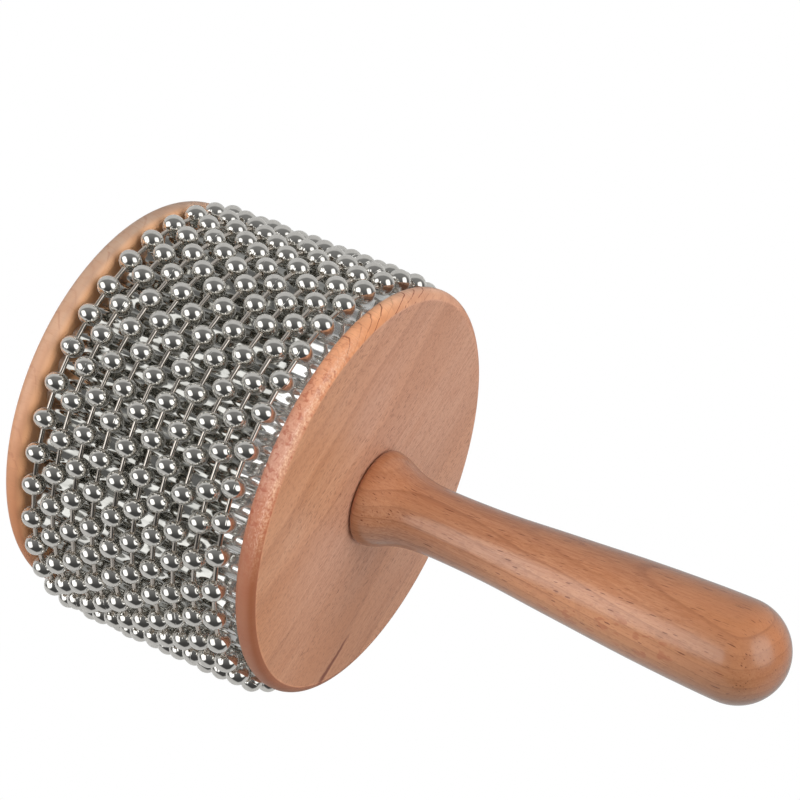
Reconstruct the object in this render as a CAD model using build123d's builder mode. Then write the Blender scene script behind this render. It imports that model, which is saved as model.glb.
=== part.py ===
from build123d import *
import math
import os

# Cabasa: a wooden drum between two round-edged discs, wrapped in corrugated
# steel sheet, with ten loose loops of bead chain around it, on a turned handle.
# Millimetres. The axis is +Z, the handle points up, and the origin is the centre
# of the base disc's flat outer face.

os.makedirs("parts", exist_ok=True)

# ---------------------------------------------------------------- dimensions
disc_radius = 47.5          # both end discs
disc_thickness = 4.7
disc_edge_round = 2.2       # rounding on each edge, so the rim is nearly a half round
drum_gap = 56.0             # clear width between the discs

core_radius = 41.58
tenon_radius = 6.0          # round tenon of the handle, glued into the core
tenon_length = 22.7         # from the handle's foot down into the core
joint_gap = 0.05            # glue gap around the tenon, the insert and the bolt

ridge_count = 40            # corrugations round the drum
ridge_radius = 43.63        # outer radius at a ridge
ridge_depth = 1.6           # ridge top to valley bottom
sheet_thickness = 0.35      # measured along the radius
sheet_end_gap = 0.1         # clearance to each disc
seam_angle = 90.0           # the sheet's two ends meet on the ridge at this angle
seam_gap = 0.3

nail_radius = 0.5
nail_length = 9.0
nail_head_radius = 0.9
nail_head_height = 0.5
nail_heights = (10.0, 32.7, 55.4)

bolt_radius = 2.5
bolt_head_radius = 6.0
bolt_head_height = 1.5
bolt_end_z = 53.0
washer_radius = 6.8
washer_thickness = 1.0
recess_radius = 7.2         # recess in the base disc for the washer and the bolt head
recess_depth = 2.9
insert_radius = 4.0
insert_length = 12.0

loop_count = 10
bead_count = 37             # beads in one loop
bead_radius = 2.62          # pressed steel bead chain
bead_wall = 0.45
bead_hole_radius = 0.65
chain_radius = 46.5         # bead centres, from the drum axis
loop_pitch = 5.30           # along the axis, loop to loop
first_loop_z = 8.2
rod_radius = 0.5
rod_head_radius = 0.82
rod_head_offset = 1.0       # head centre, from the bead centre
closing_slit = 0.35         # slit left in the bead that closes a loop
# Angle of the first bead of each loop: the loops lie staggered, bead against gap.
loop_phase = (-94.4, -91.0, -85.6, -90.5, -86.3, -91.1, -86.1, -90.7, -94.7, -88.0)
# Place of the closing bead in each loop, counted from the first bead.
closing_place = (16, 21, 13, 19, 24, 15, 22, 18, 12, 20)

# Handle profile: radius against height above the front disc's outer face.
handle_foot_round = 1.5
handle_profile = (
    (11.00, 1.5),
    (10.35, 4.4),
    (9.02, 7.6),
    (8.05, 11.4),
    (7.62, 16.5),
    (7.63, 23.0),
    (8.00, 33.3),
    (8.72, 42.8),
    (9.42, 52.3),
    (10.13, 61.8),
    (10.69, 71.3),
    (11.08, 80.8),
    (11.21, 87.4),
)

# ---------------------------------------------------------------- heights
core_bottom = disc_thickness
core_top = disc_thickness + drum_gap
foot_z = core_top + disc_thickness
tenon_bottom = foot_z - tenon_length
handle_end_radius = handle_profile[-1][0]
handle_tip = foot_z + handle_profile[-1][1] + handle_end_radius
bead_pitch = 360.0 / bead_count

# ---------------------------------------------------------------- handle
with BuildPart() as handle:
    with BuildSketch(Plane.XZ) as handle_section:
        with BuildLine():
            side = [(r, foot_z + h) for r, h in handle_profile]
            foot_inner = (side[0][0] - handle_foot_round, foot_z)
            Line((0, foot_z), foot_inner)
            RadiusArc(foot_inner, side[0], -handle_foot_round)
            Spline(*side, tangents=((0, 1), (0, 1)))
            RadiusArc(side[-1], (0, handle_tip), -handle_end_radius)
            Line((0, handle_tip), (0, foot_z))
        make_face()
    revolve(axis=Axis.Z)
    with BuildSketch(Plane.XY.offset(tenon_bottom)):
        Circle(tenon_radius)
    extrude(amount=tenon_length)
    chamfer(edges().filter_by(GeomType.CIRCLE).sort_by(Axis.Z)[0], length=0.6)
    # Blind bore for the threaded insert, then a clearance bore for the bolt's end.
    with BuildSketch(Plane.XY.offset(tenon_bottom)):
        Circle(insert_radius)
    extrude(amount=insert_length, mode=Mode.SUBTRACT)
    with BuildSketch(Plane.XY.offset(tenon_bottom + insert_length)):
        Circle(bolt_radius + 0.3)
    extrude(amount=4.0, mode=Mode.SUBTRACT)
handle.part.label = "handle"
export_step(handle.part, "parts/handle.step")

# ---------------------------------------------------------------- front disc
with BuildPart() as front_disc:
    with BuildSketch(Plane.XY.offset(core_top)):
        Circle(disc_radius)
    extrude(amount=disc_thickness)
    fillet(edges().filter_by(GeomType.CIRCLE), radius=disc_edge_round)
    with BuildSketch(Plane.XY.offset(core_top)):
        Circle(tenon_radius + joint_gap)
    extrude(amount=disc_thickness, mode=Mode.SUBTRACT)
front_disc.part.label = "front_disc"
export_step(front_disc.part, "parts/front_disc.step")

# ---------------------------------------------------------------- back disc
with BuildPart() as back_disc:
    with BuildSketch(Plane.XY):
        Circle(disc_radius)
    extrude(amount=disc_thickness)
    fillet(edges().filter_by(GeomType.CIRCLE), radius=disc_edge_round)
    with BuildSketch(Plane.XY):
        Circle(recess_radius)
    extrude(amount=recess_depth, mode=Mode.SUBTRACT)
    with BuildSketch(Plane.XY):
        Circle(bolt_radius + joint_gap)
    extrude(amount=disc_thickness, mode=Mode.SUBTRACT)
back_disc.part.label = "back_disc"
export_step(back_disc.part, "parts/back_disc.step")

# ---------------------------------------------------------------- sheet nails
# Two rows of nails, one in the valley on each side of the seam.
half_pitch_angle = 180.0 / ridge_count
valley_radius = ridge_radius - ridge_depth
nail_seat = valley_radius + 0.25
nail_angles = (seam_angle - half_pitch_angle, seam_angle + half_pitch_angle)
with BuildPart() as sheet_nails:
    for angle in nail_angles:
        out = Vector(math.cos(math.radians(angle)), math.sin(math.radians(angle)), 0)
        for height in nail_heights:
            shank_plane = Plane(
                origin=out * (nail_seat - nail_length) + Vector(0, 0, height),
                x_dir=(0, 0, 1),
                z_dir=out,
            )
            with BuildSketch(shank_plane):
                Circle(nail_radius)
            extrude(amount=nail_length)
            head_plane = Plane(
                origin=out * nail_seat + Vector(0, 0, height),
                x_dir=(0, 0, 1),
                z_dir=out,
            )
            with BuildSketch(head_plane):
                Circle(nail_head_radius)
            extrude(amount=nail_head_height)
sheet_nails.part.label = "sheet_nails"
export_step(sheet_nails.part, "parts/sheet_nails.step")

# ---------------------------------------------------------------- core
with BuildPart() as core_drum:
    with BuildSketch(Plane.XY.offset(core_bottom)):
        Circle(core_radius)
    extrude(amount=drum_gap)
    with BuildSketch(Plane.XY.offset(tenon_bottom - 0.5)):
        Circle(tenon_radius + joint_gap)
    extrude(amount=core_top - tenon_bottom + 0.5, mode=Mode.SUBTRACT)
    with BuildSketch(Plane.XY.offset(core_bottom)):
        Circle(bolt_radius + 0.3)
    extrude(amount=drum_gap, mode=Mode.SUBTRACT)
    add(sheet_nails.part, mode=Mode.SUBTRACT)
core_drum.part.label = "core_drum"
export_step(core_drum.part, "parts/core_drum.step")


# ---------------------------------------------------------------- corrugated sheet
def wave_points(offset):
    """Mid-slope, ridge, mid-slope and valley points round the drum, from one seam side."""
    points = []
    for k in range(4 * ridge_count):
        angle = math.radians(seam_angle + k * 90.0 / ridge_count)
        radius = (
            ridge_radius
            - ridge_depth / 2
            + (0.5 * ridge_depth) * (1, 0, -1, 0)[k % 4]
            - offset
        )
        points.append((radius * math.cos(angle), radius * math.sin(angle)))
    return points


with BuildPart() as corrugated_sheet:
    with BuildSketch(Plane.XY.offset(core_bottom + sheet_end_gap)):
        for offset, mode in ((0.0, Mode.ADD), (sheet_thickness, Mode.SUBTRACT)):
            wave = wave_points(offset)
            total = len(wave)
            with BuildLine():
                for k in range(1, total, 2):
                    ThreePointArc(wave[k], wave[(k + 1) % total], wave[(k + 2) % total])
            make_face(mode=mode)
    extrude(amount=drum_gap - 2 * sheet_end_gap)
    # The two ends of the sheet meet at the seam.
    seam_dir = (math.cos(math.radians(seam_angle)), math.sin(math.radians(seam_angle)), 0)
    with BuildSketch(Plane(origin=(0, 0, 0), x_dir=(0, 0, 1), z_dir=seam_dir)):
        with Locations((core_bottom + drum_gap / 2, 0)):
            Rectangle(drum_gap + 2, seam_gap)
    extrude(amount=disc_radius, mode=Mode.SUBTRACT)
    # Holes for the nails.
    add(sheet_nails.part, mode=Mode.SUBTRACT)
corrugated_sheet.part.label = "corrugated_sheet"
export_step(corrugated_sheet.part, "parts/corrugated_sheet.step")

# ---------------------------------------------------------------- tie bolt
bolt_head_top = recess_depth - washer_thickness
with BuildPart() as tie_bolt:
    with BuildSketch(Plane.XY.offset(bolt_head_top - bolt_head_height)):
        Circle(bolt_head_radius)
    extrude(amount=bolt_head_height)
    chamfer(edges().filter_by(GeomType.CIRCLE).sort_by(Axis.Z)[0], length=0.5)
    with BuildSketch(Plane.XY.offset(bolt_head_top)):
        Circle(bolt_radius)
    extrude(amount=bolt_end_z - bolt_head_top)
    chamfer(edges().filter_by(GeomType.CIRCLE).sort_by(Axis.Z)[-1], length=0.5)
    # Hexagon socket.
    with BuildSketch(Plane.XY.offset(bolt_head_top - bolt_head_height)):
        RegularPolygon(radius=2.0, side_count=6, major_radius=False)
    extrude(amount=2.4, mode=Mode.SUBTRACT)
tie_bolt.part.label = "tie_bolt"
export_step(tie_bolt.part, "parts/tie_bolt.step")

# ---------------------------------------------------------------- washer
with BuildPart() as bolt_washer:
    with BuildSketch(Plane.XY.offset(bolt_head_top)):
        Circle(washer_radius)
        Circle(bolt_radius + 0.2, mode=Mode.SUBTRACT)
    extrude(amount=washer_thickness)
bolt_washer.part.label = "bolt_washer"
export_step(bolt_washer.part, "parts/bolt_washer.step")

# ---------------------------------------------------------------- threaded insert
with BuildPart() as handle_insert:
    with BuildSketch(Plane.XY.offset(tenon_bottom)):
        Circle(insert_radius)
        Circle(bolt_radius, mode=Mode.SUBTRACT)
    extrude(amount=insert_length)
handle_insert.part.label = "handle_insert"
export_step(handle_insert.part, "parts/handle_insert.step")

# ---------------------------------------------------------------- one bead
# A hollow bead at the origin. Its loop's centre lies along -X, and a hole points at
# each of its two neighbours, half a bead pitch inward from the tangent.
half = math.radians(bead_pitch / 2)
next_dir = (-math.sin(half), math.cos(half), 0)
last_dir = (-math.sin(half), -math.cos(half), 0)
with BuildPart() as bead:
    Sphere(bead_radius)
    Sphere(bead_radius - bead_wall, mode=Mode.SUBTRACT)
    for hole_dir in (next_dir, last_dir):
        with BuildSketch(Plane(origin=(0, 0, 0), x_dir=(0, 0, 1), z_dir=hole_dir)):
            Circle(bead_hole_radius)
        extrude(amount=bead_radius + 1, mode=Mode.SUBTRACT)

# The bead that closes a loop keeps a slit from hole to hole on its inner side.
with BuildPart() as slit_bead:
    add(bead.part)
    with BuildSketch(Plane(origin=(0, 0, 0), x_dir=(0, 1, 0), z_dir=(-1, 0, 0))):
        Rectangle(2 * bead_radius + 1, closing_slit)
    extrude(amount=bead_radius + 1, mode=Mode.SUBTRACT)

# ---------------------------------------------------------------- one link
# A thin rod with a round head at each end, lying along Y, centred on the origin.
half_chord = chain_radius * math.sin(half)
head_y = half_chord - rod_head_offset
with BuildPart() as link:
    with BuildSketch(Plane.XZ.offset(-head_y)):
        Circle(rod_radius)
    extrude(amount=2 * head_y)
    with Locations((0, -head_y, 0), (0, head_y, 0)):
        Sphere(rod_head_radius)

# ---------------------------------------------------------------- chain loops
for loop in range(loop_count):
    name = f"chain_{loop + 1:02d}"
    loop_plane = Plane.XY.offset(first_loop_z + loop * loop_pitch)
    closing_angle = loop_phase[loop] + closing_place[loop] * bead_pitch

    with BuildPart(loop_plane) as balls:
        with PolarLocations(
            chain_radius,
            bead_count - 1,
            start_angle=closing_angle + bead_pitch,
            angular_range=360.0 - bead_pitch,
        ):
            add(bead.part, clean=False)
    balls.part.label = f"{name}_balls"
    export_step(balls.part, f"parts/{name}_balls.step")

    with BuildPart(loop_plane) as closing_bead:
        with PolarLocations(chain_radius, 1, start_angle=closing_angle):
            add(slit_bead.part, clean=False)
    closing_bead.part.label = f"{name}_closing_bead"
    export_step(closing_bead.part, f"parts/{name}_closing_bead.step")

    with BuildPart(loop_plane) as links:
        with PolarLocations(
            chain_radius * math.cos(half),
            bead_count,
            start_angle=loop_phase[loop] + bead_pitch / 2,
        ):
            add(link.part, clean=False)
    links.part.label = f"{name}_links"
    export_step(links.part, f"parts/{name}_links.step")
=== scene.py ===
import math

import bpy
import numpy as np
from mathutils import Matrix, Vector


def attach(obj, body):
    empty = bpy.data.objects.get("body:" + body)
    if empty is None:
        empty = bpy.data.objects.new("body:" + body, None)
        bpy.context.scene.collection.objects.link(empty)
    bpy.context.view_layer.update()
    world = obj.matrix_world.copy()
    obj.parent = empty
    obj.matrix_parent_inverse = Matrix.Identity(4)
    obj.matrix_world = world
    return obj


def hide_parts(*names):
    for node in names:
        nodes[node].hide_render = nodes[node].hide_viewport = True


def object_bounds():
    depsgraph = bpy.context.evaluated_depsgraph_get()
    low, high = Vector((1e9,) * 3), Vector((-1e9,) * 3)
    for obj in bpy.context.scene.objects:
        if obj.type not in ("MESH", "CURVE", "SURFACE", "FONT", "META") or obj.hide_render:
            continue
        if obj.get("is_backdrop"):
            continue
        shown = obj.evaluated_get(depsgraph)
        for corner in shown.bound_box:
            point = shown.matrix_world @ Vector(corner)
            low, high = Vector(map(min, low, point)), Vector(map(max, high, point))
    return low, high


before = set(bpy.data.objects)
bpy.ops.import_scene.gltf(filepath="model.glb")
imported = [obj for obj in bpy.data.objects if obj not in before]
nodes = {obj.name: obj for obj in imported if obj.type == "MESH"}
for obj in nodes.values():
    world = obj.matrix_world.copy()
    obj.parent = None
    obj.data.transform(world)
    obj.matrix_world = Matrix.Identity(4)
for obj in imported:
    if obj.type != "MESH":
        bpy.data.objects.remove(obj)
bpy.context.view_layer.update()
scene = bpy.context.scene
MM = 0.001

# ------------------------------------------------------------------ dimensions (mm)
DISC_R, DISC_T, DISC_ROUND = 47.5, 4.7, 2.2
GAP = 56.0
FOOT_Z = 2 * DISC_T + GAP
CHAIN_R, LOOP_PITCH, FIRST_Z = 46.5, 5.30, 8.2
BEADS, LOOPS = 37, 10
BEAD_R, BEAD_A = 2.63, 2.34
PHASES = (-94.4, -91.0, -85.6, -90.5, -86.3, -91.1, -86.1, -90.7, -94.7, -88.0)
RIDGES, RIDGE_R, RIDGE_DEPTH, SHEET_T = 40, 43.63, 1.6, 0.35
SEAM_ANGLE = 90.0
HANDLE = (
    (11.00, 1.5), (10.35, 4.4), (9.02, 7.6), (8.05, 11.4), (7.62, 16.5), (7.63, 23.0),
    (8.00, 33.3), (8.72, 42.8), (9.42, 52.3), (10.13, 61.8), (10.69, 71.3), (11.08, 80.8),
    (11.21, 87.4),
)

# ------------------------------------------------------------------ camera
# The object stands on its base disc; the camera is rolled so that the handle points
# right and a little down, as in the reference view.
RIGHT = Vector((-0.3921, 0.3528, 0.8495))
UP = Vector((-0.9187, -0.1969, -0.3423))
AHEAD = Vector((-0.0465, 0.9147, -0.4014))
DOWN = -UP
cam_data = bpy.data.cameras.new("camera")
cam_data.sensor_width = 36.0
cam_data.lens = 94.6
cam_data.clip_start = 0.01
cam = bpy.data.objects.new("camera", cam_data)
scene.collection.objects.link(cam)
place = Matrix((RIGHT, UP, -AHEAD)).transposed().to_4x4()
place.translation = Vector((0.0, -8.961 * DISC_R * MM, (FOOT_Z + 3.863 * DISC_R) * MM))
cam.matrix_world = place
scene.camera = cam


# ------------------------------------------------------------------ mesh helpers
def new_mesh(name, verts, quads, tris=None, sharp=None):
    """A smooth mesh from points in millimetres, four-sided faces and three-sided faces."""
    verts = np.asarray(verts, np.float32) * MM
    quads = np.asarray(quads, np.int32).reshape(-1, 4)
    tris = np.zeros((0, 3), np.int32) if tris is None else np.asarray(tris, np.int32).reshape(-1, 3)
    mesh = bpy.data.meshes.new(name)
    mesh.vertices.add(len(verts))
    mesh.vertices.foreach_set("co", verts.ravel())
    mesh.loops.add(quads.size + tris.size)
    mesh.loops.foreach_set("vertex_index", np.concatenate([quads.ravel(), tris.ravel()]).astype(np.int32))
    mesh.polygons.add(len(quads) + len(tris))
    starts = np.concatenate([np.arange(len(quads)) * 4, quads.size + np.arange(len(tris)) * 3])
    mesh.polygons.foreach_set("loop_start", starts.astype(np.int32))
    mesh.polygons.foreach_set("use_smooth", np.ones(len(quads) + len(tris), bool))
    mesh.update(calc_edges=True)
    mesh.validate()
    if sharp is not None:
        mesh.set_sharp_from_angle(angle=math.radians(sharp))
    obj = bpy.data.objects.new(name, mesh)
    scene.collection.objects.link(obj)
    return obj


def lathe_grid(rows, cols, wrap=True, flip=False):
    """Faces of a grid of rows by cols points; the columns close on themselves."""
    r = np.arange(rows - 1)[:, None]
    c = np.arange(cols if wrap else cols - 1)[None, :]
    n = (c + 1) % cols
    a, b, d, e = r * cols + c, r * cols + n, (r + 1) * cols + n, (r + 1) * cols + c
    q = np.stack(np.broadcast_arrays(a, b, d, e), -1).reshape(-1, 4)
    return q[:, ::-1] if flip else q


def lathe(name, profile, segments, sharp=None):
    """A closed body of revolution about Z from (radius, height) points that start and end on the axis."""
    profile = np.asarray(profile, float)
    inner = profile[1:-1]
    ang = np.linspace(0, 2 * math.pi, segments, endpoint=False)
    ring = np.stack(
        [inner[:, 0:1] * np.cos(ang), inner[:, 0:1] * np.sin(ang), np.repeat(inner[:, 1:2], segments, 1)], -1
    ).reshape(-1, 3)
    verts = np.vstack([ring, [[0, 0, profile[0, 1]], [0, 0, profile[-1, 1]]]])
    quads = lathe_grid(len(inner), segments)
    first, last = len(ring), len(ring) + 1
    k = np.arange(segments)
    tris = np.vstack(
        [
            np.stack([np.full(segments, first), (k + 1) % segments, k], 1),
            np.stack(
                [
                    np.full(segments, last),
                    (len(inner) - 1) * segments + k,
                    (len(inner) - 1) * segments + (k + 1) % segments,
                ],
                1,
            ),
        ]
    )
    return new_mesh(name, verts, quads, tris, sharp)


def ring_lathe(name, profile, segments, sharp=None):
    """A closed ring of revolution about Z from a closed loop of (radius, height) points."""
    profile = np.asarray(profile, float)
    ang = np.linspace(0, 2 * math.pi, segments, endpoint=False)
    verts = np.stack(
        [profile[:, 0:1] * np.cos(ang), profile[:, 0:1] * np.sin(ang), np.repeat(profile[:, 1:2], segments, 1)], -1
    ).reshape(-1, 3)
    quads = lathe_grid(len(profile), segments)
    k = np.arange(segments)
    n = (k + 1) % segments
    top = (len(profile) - 1) * segments
    quads = np.vstack([quads, np.stack([top + k, top + n, n, k], 1)])
    return new_mesh(name, verts, quads, None, sharp)


def arc(cx, cy, r, a0, a1, n):
    t = np.radians(np.linspace(a0, a1, n))
    return np.stack([cx + r * np.cos(t), cy + r * np.sin(t)], 1)


def natural_curve(points, samples, start_slope, end_slope):
    """Cubic curve of radius against height through the points, with the slopes at its ends."""
    r, h = np.array(points).T
    n = len(h)
    d = np.diff(h)
    a = np.zeros((n, n))
    b = np.zeros(n)
    a[0, 0] = a[-1, -1] = 1
    b[0], b[-1] = start_slope, end_slope
    for i in range(1, n - 1):
        a[i, i - 1], a[i, i], a[i, i + 1] = 1 / d[i - 1], 2 / d[i - 1] + 2 / d[i], 1 / d[i]
        b[i] = 3 * ((r[i] - r[i - 1]) / d[i - 1] ** 2 + (r[i + 1] - r[i]) / d[i] ** 2)
    m = np.linalg.solve(a, b)
    x = np.linspace(h[0], h[-1], samples)
    i = np.clip(np.searchsorted(h, x, "right") - 1, 0, n - 2)
    t = (x - h[i]) / d[i]
    y = (
        (2 * t**3 - 3 * t**2 + 1) * r[i]
        + (t**3 - 2 * t**2 + t) * d[i] * m[i]
        + (-2 * t**3 + 3 * t**2) * r[i + 1]
        + (t**3 - t**2) * d[i] * m[i + 1]
    )
    return np.stack([y, x], 1)


# ------------------------------------------------------------------ shader helpers
class Shader:
    """A material with one Principled surface, and short ways to add nodes to it."""

    def __init__(self, name):
        self.mat = bpy.data.materials.new(name)
        self.mat.use_nodes = True
        self.tree = self.mat.node_tree
        self.tree.nodes.clear()
        self.out = self.add("ShaderNodeOutputMaterial")
        self.bsdf = self.add("ShaderNodeBsdfPrincipled")
        self.tree.links.new(self.bsdf.outputs[0], self.out.inputs[0])

    def add(self, kind, **props):
        node = self.tree.nodes.new(kind)
        for key, value in props.items():
            setattr(node, key, value)
        return node

    def put(self, socket, value):
        if isinstance(value, bpy.types.NodeSocket):
            self.tree.links.new(value, socket)
        else:
            socket.default_value = value

    def math(self, op, a, b=0.0, c=0.0, clamp=False):
        node = self.add("ShaderNodeMath", operation=op, use_clamp=clamp)
        for socket, value in zip(node.inputs, (a, b, c)):
            self.put(socket, value)
        return node.outputs[0]

    def vec(self, op, a, b=(0, 0, 0), scale=None):
        node = self.add("ShaderNodeVectorMath", operation=op)
        self.put(node.inputs[0], a)
        self.put(node.inputs[1], b)
        if scale is not None:
            self.put(node.inputs["Scale"], scale)
        return node.outputs["Value"] if op in ("DOT_PRODUCT", "LENGTH", "DISTANCE") else node.outputs[0]

    def ramp(self, value, low, high, out_low=0.0, out_high=1.0, smooth=True):
        node = self.add("ShaderNodeMapRange", interpolation_type="SMOOTHSTEP" if smooth else "LINEAR", clamp=True)
        for socket, v in zip(node.inputs, (value, low, high, out_low, out_high)):
            self.put(socket, v)
        return node.outputs[0]

    def mix(self, factor, a, b, blend="MIX"):
        node = self.add("ShaderNodeMix", data_type="RGBA", blend_type=blend)
        self.put(node.inputs[0], factor)
        self.put(node.inputs[6], a)
        self.put(node.inputs[7], b)
        return node.outputs[2]

    def noise(self, vector, scale=1.0, detail=3.0, rough=0.5, distortion=0.0):
        node = self.add("ShaderNodeTexNoise", noise_dimensions="3D")
        self.put(node.inputs["Vector"], vector)
        for key, value in (("Scale", scale), ("Detail", detail), ("Roughness", rough), ("Distortion", distortion)):
            self.put(node.inputs[key], value)
        return node.outputs[0]

    def cells(self, vector, randomness=1.0):
        node = self.add("ShaderNodeTexVoronoi", voronoi_dimensions="3D", feature="F1")
        self.put(node.inputs["Vector"], vector)
        self.put(node.inputs["Scale"], 1.0)
        self.put(node.inputs["Randomness"], randomness)
        return node.outputs["Distance"], node.outputs["Color"]

    def bump(self, height, distance, strength=1.0, normal=None):
        node = self.add("ShaderNodeBump")
        self.put(node.inputs["Height"], height)
        self.put(node.inputs["Distance"], distance)
        self.put(node.inputs["Strength"], strength)
        if normal is not None:
            self.put(node.inputs["Normal"], normal)
        return node.outputs[0]


def rgb(r, g, b):
    """Linear colour from sRGB numbers of 0 to 255."""
    f = lambda c: c / 255 / 12.92 if c / 255 <= 0.04045 else ((c / 255 + 0.055) / 1.055) ** 2.4
    return (f(r), f(g), f(b), 1.0)


def beech(
    name, grain, radial, pith, ring_width, light, dark, line, warm, end_tone,
    dash=(0.7, 3.2, 4.2), dash_size=(0.16, 0.32), dash_mix=0.6, fine_mix=0.25, ring_mix=0.3, band_mix=0.15,
    fleck_mix=0.2, rough=0.45, coat=0.15, coat_rough=0.25, end_rough=0.1, end_mix=1.0, seed=0.0, extra=None,
):
    """Solid beech. grain and radial are directions in the object's frame. The pattern is cut from a
    block in three dimensions: growth rings round a pith line along the grain, rays that show as short
    dashes on the bark side, broader flecks on the quarter side and thin lines on the end grain."""
    s = Shader(name)
    g = Vector(grain).normalized()
    p = (Vector(radial) - g * Vector(radial).dot(g)).normalized()
    q = p.cross(g)
    turn = Matrix((q, p, g)).to_euler("XYZ")
    coords = s.add("ShaderNodeTexCoord")
    mapping = s.add("ShaderNodeMapping", vector_type="POINT")
    s.put(mapping.inputs["Vector"], coords.outputs["Object"])
    mapping.inputs["Scale"].default_value = (1000, 1000, 1000)
    mapping.inputs["Rotation"].default_value = turn
    mapping.inputs["Location"].default_value = (0.0, 0.0, 0.0)
    at = mapping.outputs[0]  # millimetres: across, radial, along the grain
    shifted = s.vec("ADD", at, (seed * 1.37, seed * 0.71, seed * 3.1))

    # Slow wander of the fibres.
    wander = s.add("ShaderNodeTexNoise", noise_dimensions="3D")
    s.put(wander.inputs["Vector"], s.vec("MULTIPLY", shifted, (0.045, 0.045, 0.012)))
    s.put(wander.inputs["Scale"], 1.0)
    s.put(wander.inputs["Detail"], 2.0)
    drift = s.vec("MULTIPLY", s.vec("SUBTRACT", wander.outputs["Color"], (0.5, 0.5, 0.5)), (4.0, 4.0, 0.0))
    flow = s.vec("ADD", shifted, drift)

    # Growth rings: a thin dark line with a soft band before it.
    from_pith = s.vec("MULTIPLY", s.vec("SUBTRACT", s.vec("ADD", at, drift), (pith[0], pith[1], 0.0)), (1, 1, 0))
    radius = s.vec("LENGTH", from_pith)
    count = s.math("DIVIDE", radius, ring_width)
    ring = s.math("FRACT", count)
    thin = s.math("MULTIPLY", s.ramp(ring, 0.80, 0.93), s.ramp(ring, 1.0, 0.95))
    band = s.math("MULTIPLY", s.ramp(ring, 0.1, 0.9), s.ramp(ring, 1.0, 0.92))
    year_node = s.add("ShaderNodeTexWhiteNoise", noise_dimensions="1D")
    s.put(year_node.inputs["W"], s.math("FLOOR", count))
    year = s.ramp(year_node.outputs[0], 0.0, 1.0, 0.3, 1.0, smooth=False)

    # Rays: short dark dashes, a coarse and a fine set.
    near, cell = s.cells(s.vec("DIVIDE", flow, dash))
    pick = s.add("ShaderNodeSeparateColor")
    s.put(pick.inputs[0], cell)
    size = s.ramp(pick.outputs[0], 0.0, 1.0, dash_size[0], dash_size[1], smooth=False)
    dashes = s.ramp(s.math("SUBTRACT", size, near), 0.0, 0.07)
    dashes = s.math("MULTIPLY", dashes, s.ramp(pick.outputs[1], 0.05, 0.85, 0.25, 1.0))
    near2, cell2 = s.cells(s.vec("ADD", s.vec("DIVIDE", flow, (dash[0] * 0.6, dash[1] * 0.6, dash[2] * 0.55)), (7.3, 2.1, 5.9)))
    fine_dashes = s.ramp(s.math("SUBTRACT", 0.30, near2), 0.0, 0.14)

    # Fibre streaks, pores, slow clouds.
    fibre = s.noise(s.vec("MULTIPLY", flow, (2.4, 2.4, 0.07)), 1.0, 4.0, 0.65)
    pores = s.noise(s.vec("MULTIPLY", flow, (7.0, 7.0, 1.2)), 1.0, 2.0, 0.6)
    cloud = s.noise(s.vec("MULTIPLY", shifted, (0.06, 0.06, 0.018)), 1.0, 2.0, 0.5)
    mottle = s.noise(s.vec("MULTIPLY", shifted, (0.5, 0.5, 0.35)), 1.0, 3.0, 0.6)
    fleck = s.noise(s.vec("MULTIPLY", flow, (0.9, 0.32, 0.42)), 1.0, 2.0, 0.55, 0.6)

    # End grain and quarter side, from the way the surface faces.
    normal_at = coords.outputs["Normal"]
    end = s.ramp(s.math("ABSOLUTE", s.vec("DOT_PRODUCT", normal_at, tuple(g))), 0.45, 0.98)
    quarter = s.ramp(s.math("ABSOLUTE", s.vec("DOT_PRODUCT", normal_at, tuple(q))), 0.35, 0.9)

    colour = s.mix(s.ramp(fibre, 0.34, 0.66), light, dark)
    colour = s.mix(s.ramp(cloud, 0.36, 0.66, 0.0, 0.7), colour, warm)
    colour = s.mix(s.math("MULTIPLY", band, band_mix), colour, line)
    colour = s.mix(s.math("MULTIPLY", s.math("MULTIPLY", thin, year), ring_mix), colour, line)
    colour = s.mix(s.math("MULTIPLY", end, s.ramp(mottle, 0.25, 0.75, 0.45 * end_mix, end_mix)), colour, end_tone)
    colour = s.mix(s.math("MULTIPLY", s.math("MULTIPLY", s.ramp(fleck, 0.52, 0.66), quarter), fleck_mix), colour, line)
    colour = s.mix(s.math("MULTIPLY", fine_dashes, fine_mix), colour, line)
    colour = s.mix(s.math("MULTIPLY", dashes, dash_mix), colour, line)
    colour = s.mix(s.ramp(pores, 0.56, 0.76, 0.0, 0.25), colour, line)
    rough_more = end
    grit_more = end
    if extra is not None:
        colour, rough_more, grit_more = extra(s, coords, colour, end)
    s.put(s.bsdf.inputs["Base Color"], colour)

    rough_map = s.math("ADD", s.ramp(pores, 0.3, 0.75, rough - 0.05, rough + 0.07), s.math("MULTIPLY", rough_more, end_rough))
    s.put(s.bsdf.inputs["Roughness"], rough_map)
    s.put(s.bsdf.inputs["Specular IOR Level"], 0.4)
    s.put(s.bsdf.inputs["Coat Weight"], coat)
    s.put(s.bsdf.inputs["Coat Roughness"], coat_rough)
    grit = s.noise(s.vec("MULTIPLY", shifted, (4.0, 4.0, 4.0)), 1.0, 3.0, 0.65)
    height = s.math("SUBTRACT", s.math("MULTIPLY", fibre, 0.45), s.math("MULTIPLY", dashes, 0.6))
    height = s.math("ADD", height, s.math("MULTIPLY", grit, s.math("MULTIPLY_ADD", grit_more, 1.6, 0.3)))
    s.put(s.bsdf.inputs["Normal"], s.bump(height, 0.00005, 0.7))
    return s.mat


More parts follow.
